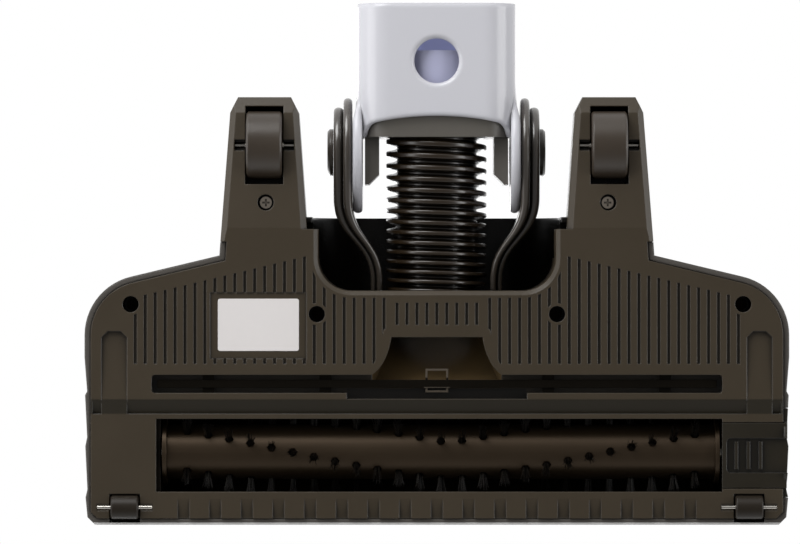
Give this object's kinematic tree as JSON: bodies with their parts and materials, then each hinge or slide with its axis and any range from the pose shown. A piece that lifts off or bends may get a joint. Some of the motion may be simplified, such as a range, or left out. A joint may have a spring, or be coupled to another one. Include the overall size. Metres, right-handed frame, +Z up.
{
  "type": "vacuum floor brush head",
  "caption": "Motor-driven vacuum floor head with a ribbed sole, chevron brush roll, removable end cap, wheels on rear legs and a swivelling, tilting neck on a corrugated hose.",
  "frame": {"origin": "on the floor under the middle of the head, as it stands on its wheels", "axes": "+Z up, -Y to the front where the brush is, +Y along the neck, +X across the head to the drive side"},
  "size_m": [0.2694, 0.2, 0.068],
  "materials": {
    "shell_black": "glossy moulded black",
    "sole_black": "satin moulded warm black with fine grain",
    "cap_black": "satin moulded black",
    "strip_rubber": "soft black rubber",
    "roll_black": "turned black plastic",
    "bristle": "black nylon bristle",
    "wheel_grey": "dark grey soft plastic",
    "steel": "bright steel",
    "yoke_black": "glossy black",
    "hose_black": "glossy flexible black",
    "neck_pale": "glossy pale lilac grey",
    "sleeve_pale": "glossy pale lilac",
    "liner_dark": "satin dark grey",
    "inner_grey": "plain grey moulding",
    "board_green": "lacquered board",
    "contact_brass": "plain brass"
  },
  "bodies": {
    "housing": {"top_shell": "shell_black", "sole_plate": "sole_black", "wiper_strip": "strip_rubber", "brush_hood": "inner_grey", "drive_bearing": "steel", "motor": "steel", "motor_cushions": "strip_rubber", "drive_belt": "strip_rubber", "suction_duct": "inner_grey", "swivel_ring": "inner_grey", "plate_screws": "steel", "circuit_board": "board_green", "rear_axle_left": "steel", "rear_axle_right": "steel", "front_axle_left": "steel", "front_axle_right": "steel"},
    "brush": {"brush_core": "roll_black", "bristle_tufts": "bristle", "brush_flanges": "roll_black", "brush_shaft": "steel", "brush_pulley": "inner_grey"},
    "rotor": {"motor_rotor": "steel"},
    "cap": {"end_cap": "cap_black", "end_bearing": "inner_grey"},
    "wheel_left": {"rear_wheel_left": "wheel_grey"},
    "wheel_right": {"rear_wheel_right": "wheel_grey"},
    "roller_left": {"front_roller_left": "wheel_grey"},
    "roller_right": {"front_roller_right": "wheel_grey"},
    "yoke": {"yoke": "yoke_black", "pivot_pin_left": "yoke_black", "pivot_pin_right": "yoke_black", "hose": "hose_black", "hose_cuff_lower": "liner_dark"},
    "neck": {"neck_shell": "neck_pale", "neck_liner": "liner_dark", "suction_sleeve": "sleeve_pale", "hose_cuff_upper": "liner_dark", "contact_block": "inner_grey", "contact_pins": "contact_brass"}
  },
  "joints": [
    {"name": "brush_spin", "type": "hinge", "parent": "housing", "child": "brush", "pos_m": [0, -0.0725, 0.0175], "axis": [1, 0, 0], "continuous": true},
    {"name": "motor_spin", "type": "hinge", "parent": "housing", "child": "rotor", "pos_m": [0, -0.0295, 0.0243], "axis": [1, 0, 0], "continuous": true},
    {"name": "cap_off", "type": "slide", "parent": "housing", "child": "cap", "axis": [-1, 0, 0], "range_m": [0, 0.035]},
    {"name": "wheel_left_spin", "type": "hinge", "parent": "housing", "child": "wheel_left", "pos_m": [0.0661, 0.0452, 0.013], "axis": [1, 0, 0], "continuous": true},
    {"name": "wheel_right_spin", "type": "hinge", "parent": "housing", "child": "wheel_right", "pos_m": [-0.0661, 0.0452, 0.013], "axis": [1, 0, 0], "continuous": true},
    {"name": "roller_left_spin", "type": "hinge", "parent": "housing", "child": "roller_left", "pos_m": [0.1193, -0.0933, 0.0045], "axis": [1, 0, 0], "continuous": true},
    {"name": "roller_right_spin", "type": "hinge", "parent": "housing", "child": "roller_right", "pos_m": [-0.1193, -0.0933, 0.0045], "axis": [1, 0, 0], "continuous": true},
    {"name": "yoke_swivel", "type": "hinge", "parent": "housing", "child": "yoke", "pos_m": [0, 0, 0.038], "axis": [0, 1, 0], "range_deg": [-20, 20]},
    {"name": "neck_tilt", "type": "hinge", "parent": "yoke", "child": "neck", "pos_m": [0, 0.0429, 0.038], "axis": [1, 0, 0], "range_deg": [0, 85], "deforming": ["hose"]}
  ],
  "couplings": [
    {"joint": "motor_spin", "follows": "brush_spin", "ratio": 1.8}
  ]
}
